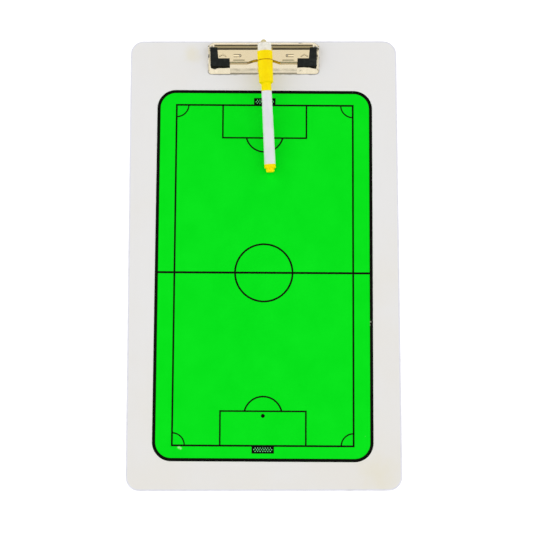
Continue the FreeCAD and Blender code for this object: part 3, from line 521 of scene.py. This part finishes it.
def bonded_fibre():
    # Fine fibres along the marker, drawn 0.3 mm apart so that they show, black with ink and a little wet.
    material, tree, shader, place = start("polyester_fibre_inked", {
        "IOR": 1.5, "Specular IOR Level": 0.5})
    turned = add(tree, "Mapping", {"Vector": place, "Rotation": along_marker.inverted().to_euler()})
    drawn = add(tree, "Mapping", {"Vector": turned, "Scale": (1.0, 1.0, 0.05)})
    fibre = add(tree, "TexNoise", {
        "Vector": drawn, "Scale": spacing(0.3), "Detail": 3.0, "Roughness": 0.6})
    shade = add(tree, "MapRange", {"Value": fibre, "From Min": 0.35, "From Max": 0.7})
    colour = add(tree, "Mix", {0: shade, 6: linear("#0C0C10"), 7: linear("#2B2B32")}, data_type="RGBA")
    wet = add(tree, "MapRange", {"Value": fibre, "To Min": 0.35, "To Max": 0.7})
    strands = add(tree, "Bump", {"Height": fibre, "Strength": 0.5, "Distance": 0.00005})
    connect(tree, shader, {"Base Color": colour, "Roughness": wet, "Normal": strands})
    return material


dress(bonded_fibre(), "marker_nib", "ink_reservoir")


# Magnet: a disc of ferrite powder, pressed and sintered, charcoal grey and brittle.
# It lies closed in, in the holder's pocket, and keeps the marker on the steel clip.
def sintered_ferrite():
    # Dull charcoal with a coarse grain and paler chips.
    material, tree, shader, place = start("ferrite_sintered", {
        "Roughness": 0.75, "Specular IOR Level": 0.35})
    grain = add(tree, "TexVoronoi", {"Vector": place, "Scale": spacing(0.4)})
    chips = add(tree, "TexNoise", {
        "Vector": place, "Scale": spacing(1.2), "Detail": 5.0, "Roughness": 0.7})
    pale = add(tree, "MapRange", {"Value": chips, "From Min": 0.55, "From Max": 0.75})
    colour = add(tree, "Mix", {0: pale, 6: linear("#2E2E30"), 7: linear("#5A5A5C")}, data_type="RGBA")
    pits = add(tree, "Bump", {"Height": grain, "Strength": 0.5, "Distance": 0.00004})
    connect(tree, shader, {"Base Color": colour, "Normal": pits})
    return material


dress(sintered_ferrite(), "cap_magnet")


# Eraser: a plug of pressed wool felt, punched from sheet and glued over the holder's peg.
# Its end is rounded by wiping, its sides are slightly lumpy, and loose fibres stand out all over.
felt_low, felt_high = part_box("felt_eraser")
felt_middle = (felt_low + felt_high) / 2
felt_points = [vertex.co - felt_middle for vertex in frame["nodes"]["felt_eraser"].data.vertices]
felt_reach = [point.dot(marker_axis) for point in felt_points]
felt_foot = felt_middle + marker_axis * min(felt_reach)
felt_length = max(felt_reach) - min(felt_reach)
felt_radius = max(point.cross(marker_axis).length for point in felt_points)
felt_seat = Matrix.Translation(felt_foot) @ along_marker.to_matrix().to_4x4()
felt_lump = 0.00012
felt_lump_size = 0.0016
felt_lump_fading = 0.8
felt_lump_step = 2.0
felt_lump_layers = 3
felt_end_round = 0.0006
felt_end_turns = (30, 60, 90)
felt_end_rings = (0.75, 0.5, 0.25, 0.0)
felt_side_rings = 14
felt_turns = 72
weld_reach = 1e-6
fibre_seed = 7
fibre_count = 1400
fibre_length = (0.0005, 0.0011)
fibre_thickness = 0.00003
fibre_tip = 0.3
fibre_lean = 1.1
fibre_stand = 0.42

# The profile runs from the middle of the foot, up the side and round the end to the middle of the top.
felt_mesh = bmesh.new()
felt_side = felt_radius - felt_lump
profile = [(0.0, 0.0), (felt_radius / 2, 0.0), (felt_side, 0.0)]
straight = felt_length - felt_end_round
for ring in range(1, felt_side_rings + 1):
    profile.append((felt_side, straight * ring / felt_side_rings))
for turn in felt_end_turns:
    swing = math.radians(turn)
    profile.append((felt_side - felt_end_round * (1 - math.cos(swing)),
                    straight + felt_end_round * math.sin(swing)))
flat_end = profile[-1][0]
for share in felt_end_rings:
    profile.append((flat_end * share, felt_length))
corners = [felt_mesh.verts.new((radius, 0.0, height)) for radius, height in profile]
edges = [felt_mesh.edges.new(pair) for pair in zip(corners, corners[1:])]
bmesh.ops.spin(felt_mesh, geom=corners + edges, cent=(0, 0, 0), axis=(0, 0, 1), angle=math.tau,
               steps=felt_turns, use_merge=True)
bmesh.ops.remove_doubles(felt_mesh, verts=felt_mesh.verts, dist=weld_reach)
bmesh.ops.recalc_face_normals(felt_mesh, faces=felt_mesh.faces)
bmesh.ops.subdivide_edges(felt_mesh, edges=felt_mesh.edges, cuts=1, use_grid_fill=True, smooth=0.0)
felt_mesh.normal_update()
for vertex in felt_mesh.verts:
    lump = noise.fractal(vertex.co / felt_lump_size, felt_lump_fading, felt_lump_step, felt_lump_layers)
    if vertex.co.z > felt_lump:
        vertex.co += vertex.normal * max(-1.0, min(1.0, lump)) * felt_lump
for face in felt_mesh.faces:
    face.smooth = True

# Loose fibres are thin cones that lie back at random from the felt's side and end.
# The mesh's points come in any order, so they are sorted by place, and the draw is the same each run.
draw = random.Random(fibre_seed)
surface_points = [(vertex.co.copy(), vertex.normal.copy())
                  for vertex in felt_mesh.verts if vertex.co.z > felt_lump]
surface_points.sort(key=lambda point: tuple(point[0]))
for _ in range(fibre_count):
    root, outward = draw.choice(surface_points)
    lean = Vector((draw.uniform(-1, 1), draw.uniform(-1, 1), draw.uniform(-1, 1)))
    way = (outward + lean * fibre_lean).normalized()
    length = draw.uniform(*fibre_length)
    stand = way.to_track_quat("Z", "Y").to_matrix().to_4x4()
    bmesh.ops.create_cone(felt_mesh, cap_ends=False, segments=3, radius1=fibre_thickness,
                          radius2=fibre_thickness * fibre_tip, depth=length,
                          matrix=Matrix.Translation(root + way * length * fibre_stand) @ stand)
felt_mesh.transform(felt_seat)
felt_data = bpy.data.meshes.new("felt_pad")
felt_mesh.to_mesh(felt_data)
felt_mesh.free()
felt_pad = bpy.data.objects.new("felt_pad", felt_data)
bpy.context.scene.collection.objects.link(felt_pad)


def pressed_wool():
    # Off-white and matt with a soft sheen at grazing angles, strands about 0.5 mm wide, greyer by random
    # patches and with painted shade in the dips between strands.
    material, tree, shader, place = start("wool_felt_pressed", {
        "Roughness": 0.95, "Specular IOR Level": 0.15, "Sheen Weight": 0.35, "Sheen Roughness": 0.5})
    strands = add(tree, "TexNoise", {
        "Vector": place, "Scale": spacing(0.5), "Detail": 6.0, "Roughness": 0.7, "Distortion": 1.2})
    mottle = add(tree, "TexNoise", {"Vector": place, "Scale": spacing(3.0), "Detail": 4.0})
    # Painted shade: the colour darkens where the strands' bump is low, mixed with a random mottle.
    mottle_and_dip_shade = add(tree, "Math", {0: strands, 1: mottle}, operation="MULTIPLY")
    shade = add(tree, "MapRange", {"Value": mottle_and_dip_shade, "From Min": 0.12, "From Max": 0.36})
    colour = add(tree, "Mix", {0: shade, 6: linear("#E2DED2"), 7: linear("#F6F3E8")}, data_type="RGBA")
    nap = add(tree, "Bump", {"Height": strands, "Strength": 0.8, "Distance": 0.0002})
    connect(tree, shader, {"Base Color": colour, "Normal": nap})
    return material


felt_data.materials.append(pressed_wool())
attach(felt_pad, "cap")
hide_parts("felt_eraser")


# Studio: a white paper floor under an even, overcast kind of light from overhead, brighter at both sides.
# A dark screen hangs to the front and another to the back, which draw the dark lines in the plated clip.
floor_half = 4.0
floor_gap = 0.0002
floor_mesh = bmesh.new()
bmesh.ops.create_grid(floor_mesh, x_segments=1, y_segments=1, size=floor_half)
bmesh.ops.translate(floor_mesh, verts=floor_mesh.verts, vec=(0, 0, cad_box[0].z - floor_gap))
floor_data = bpy.data.meshes.new("floor")
floor_mesh.to_mesh(floor_data)
floor_mesh.free()
floor = bpy.data.objects.new("floor", floor_data)
bpy.context.scene.collection.objects.link(floor)
paper, paper_tree, paper_shader, paper_place = start("paper_backdrop_white", {
    "Roughness": 0.9, "Specular IOR Level": 0.1,
    "Emission Color": (1.0, 1.0, 1.0, 1.0), "Emission Strength": 0.28})
pulp = add(paper_tree, "TexNoise", {"Vector": paper_place, "Scale": spacing(40.0), "Detail": 4.0})
paper_tone = add(paper_tree, "Mix", {0: pulp, 6: linear("#F6F6F6"), 7: linear("#FBFBFB")}, data_type="RGBA")
connect(paper_tree, paper_shader, {"Base Color": paper_tone})
floor_data.materials.append(paper)

# The sky's strength goes by direction, so that its lamps and screens are bounded by X, Y and Z.
studio = bpy.data.worlds.new("studio")
bpy.context.scene.world = studio
studio.use_nodes = True
sky = studio.node_tree
sky_way = add(sky, "TexCoord", {}).outputs["Generated"]
sky_axes = add(sky, "SeparateXYZ", {"Vector": sky_way})
aside = add(sky, "Math", {0: sky_axes.outputs["X"]}, operation="ABSOLUTE")
lamps = add(sky, "MapRange", {"Value": aside, "From Max": 0.7, "To Min": 1.08, "To Max": 1.35})
front = add(sky, "MapRange", {"Value": sky_axes.outputs["Y"], "From Min": -0.41, "From Max": -0.52},
            interpolation_type="SMOOTHSTEP")
back = add(sky, "MapRange", {"Value": sky_axes.outputs["Y"], "From Min": 0.445, "From Max": 0.53},
           interpolation_type="SMOOTHSTEP")
screens = add(sky, "Math", {0: front, 1: back}, operation="ADD")
screen_width = add(sky, "MapRange", {
    "Value": aside, "From Min": 0.3, "From Max": 0.55, "To Min": 0.93, "To Max": 0.0},
    interpolation_type="SMOOTHSTEP")
screen_foot = add(sky, "MapRange", {"Value": sky_axes.outputs["Z"], "From Min": 0.22, "From Max": 0.34},
                  interpolation_type="SMOOTHSTEP")
hung = add(sky, "Math", {0: screens, 1: screen_width}, operation="MULTIPLY")
shaded = add(sky, "Math", {0: hung, 1: screen_foot}, operation="MULTIPLY")
lit = add(sky, "Math", {0: 1.0, 1: shaded}, operation="SUBTRACT")
glow = add(sky, "Math", {0: lamps, 1: lit}, operation="MULTIPLY")
connect(sky, sky.nodes["Background"], {"Strength": glow, "Color": (1.0, 1.0, 1.0, 1.0)})

# Camera: above the board and a little to the front, as the photograph was taken.
# Its focal length is a guess, and its place and turn are fitted to the board's four corners.
photo_pixels = 533
focal_pixels = 1000
sensor_mm = 36.0
camera_place = (0.00077, -0.0915, 0.8835)
camera_degrees = (5.625, -0.099, -0.07)
camera_data = bpy.data.cameras.new("camera")
camera_data.sensor_width = sensor_mm
camera_data.lens = sensor_mm * focal_pixels / photo_pixels
camera = bpy.data.objects.new("camera", camera_data)
camera.location = camera_place
camera.rotation_euler = Euler([math.radians(turn) for turn in camera_degrees])
bpy.context.scene.collection.objects.link(camera)
bpy.context.scene.camera = camera
bpy.context.scene.view_settings.view_transform = "Standard"
